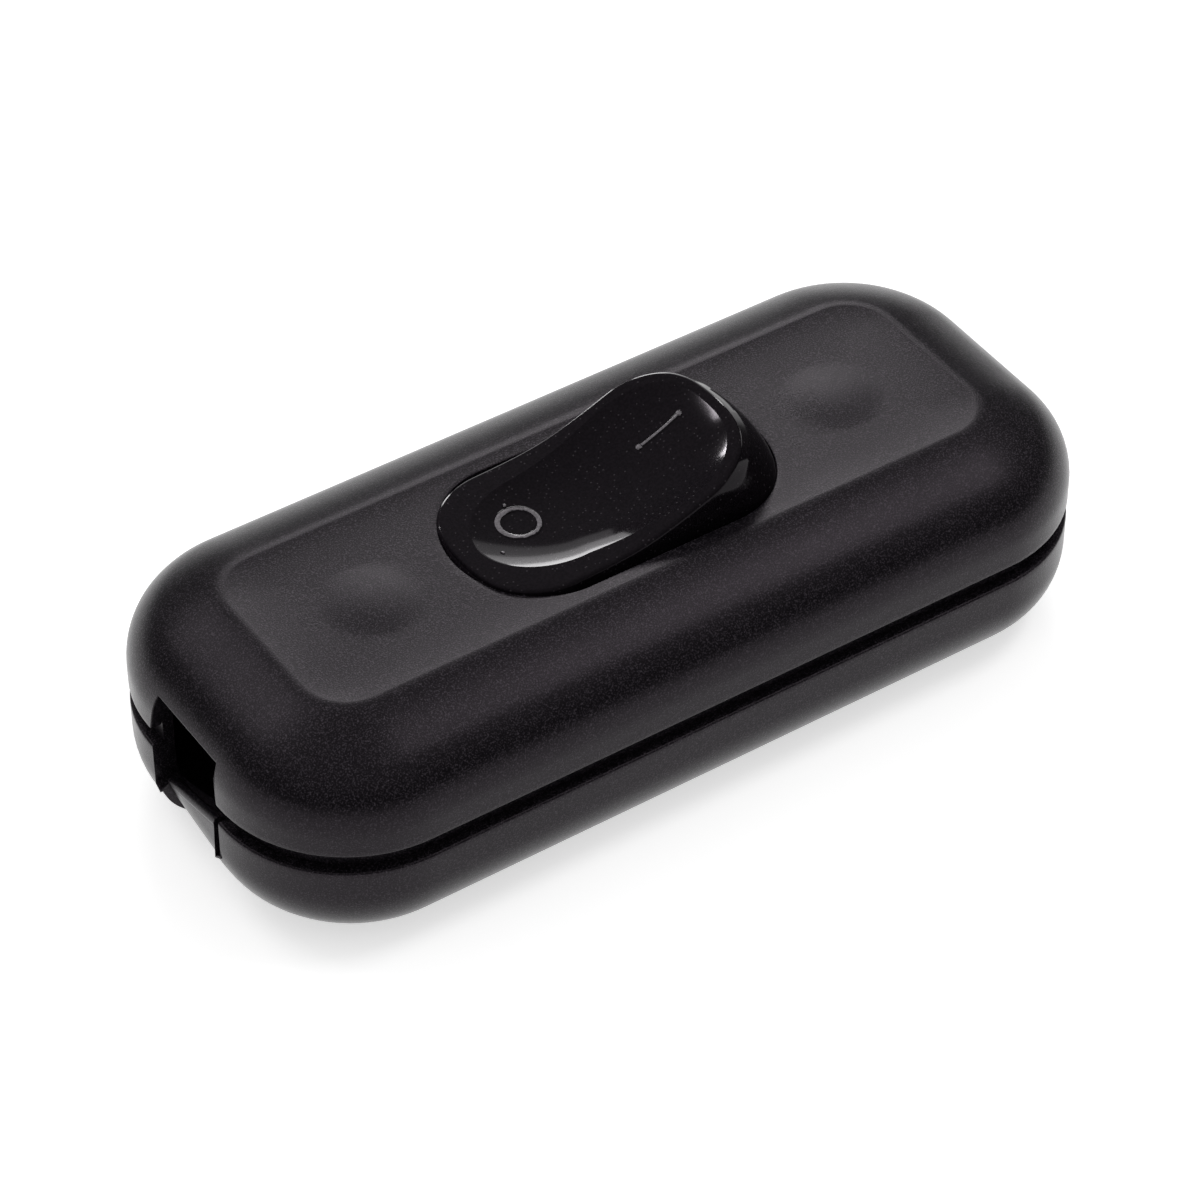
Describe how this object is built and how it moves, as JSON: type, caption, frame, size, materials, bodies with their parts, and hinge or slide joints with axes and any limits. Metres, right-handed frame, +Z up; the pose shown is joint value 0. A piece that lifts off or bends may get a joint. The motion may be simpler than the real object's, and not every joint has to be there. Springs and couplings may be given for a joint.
{
  "type": "inline cord switch",
  "caption": "Black inline rocker switch for a flat lamp cord: rounded two-shell housing, glossy tilting rocker with on and off marks, see-saw contacts, screw terminals and cord clamps inside",
  "frame": {"origin": "middle of the flat underside, below the rocker's pivot", "axes": "+X along the cord towards the end whose rocker wing stands up when off, +Y towards the rear long side, +Z up out of the rocker"},
  "size_m": [0.072, 0.0316, 0.0228],
  "materials": {
    "shell_black": "fine spark-eroded grain",
    "rocker_black": "polished",
    "plunger_white": "smooth",
    "contact_brass": "stamped",
    "contact_copper": "rolled",
    "contact_silver": "bright",
    "spring_steel": "drawn",
    "screw_steel": "zinc plated"
  },
  "bodies": {
    "housing": {"upper_shell": "shell_black", "lower_shell": "shell_black", "fulcrum_terminal_front": "contact_brass", "fulcrum_terminal_rear": "contact_brass", "fixed_terminal_front": "contact_brass", "fixed_terminal_rear": "contact_brass", "fixed_contact_front": "contact_silver", "fixed_contact_rear": "contact_silver", "terminal_screws": "screw_steel", "wire_clamp_plates": "screw_steel", "cord_clamp_left": "plunger_white", "cord_clamp_right": "plunger_white", "cord_clamp_screws": "screw_steel", "housing_screws": "screw_steel"},
    "rocker_body": {"rocker": "rocker_black", "plunger_spring_front": "spring_steel", "plunger_spring_rear": "spring_steel"},
    "plunger_front_body": {"plunger_front": "plunger_white"},
    "plunger_rear_body": {"plunger_rear": "plunger_white"},
    "blade_front_body": {"contact_blade_front": "contact_copper", "moving_contact_front": "contact_silver"},
    "blade_rear_body": {"contact_blade_rear": "contact_copper", "moving_contact_rear": "contact_silver"}
  },
  "joints": [
    {"name": "rocker", "type": "hinge", "parent": "housing", "child": "rocker_body", "pos_m": [0, 0, 0.0124], "axis": [0, 1, 0], "range_deg": [0, 24]},
    {"name": "plunger_front_slide", "type": "slide", "parent": "rocker_body", "child": "plunger_front_body", "axis": [-0.2079, 0, 0.9781], "range_m": [0, 0.0008], "stiffness_N_per_m": 120, "springref_m": -0.0008, "deforming": ["plunger_spring_front"]},
    {"name": "plunger_rear_slide", "type": "slide", "parent": "rocker_body", "child": "plunger_rear_body", "axis": [-0.2079, 0, 0.9781], "range_m": [0, 0.0008], "stiffness_N_per_m": 120, "springref_m": -0.0008, "deforming": ["plunger_spring_rear"]},
    {"name": "blade_front", "type": "hinge", "parent": "housing", "child": "blade_front_body", "pos_m": [0, -0.0039, 0.005], "axis": [0, 1, 0], "range_deg": [-16, 0]},
    {"name": "blade_rear", "type": "hinge", "parent": "housing", "child": "blade_rear_body", "pos_m": [0, 0.0039, 0.005], "axis": [0, 1, 0], "range_deg": [-16, 0]}
  ],
  "couplings": [
    {"joint": "blade_front", "follows": "rocker", "ratio": -0.66667},
    {"joint": "blade_rear", "follows": "rocker", "ratio": -0.66667}
  ]
}
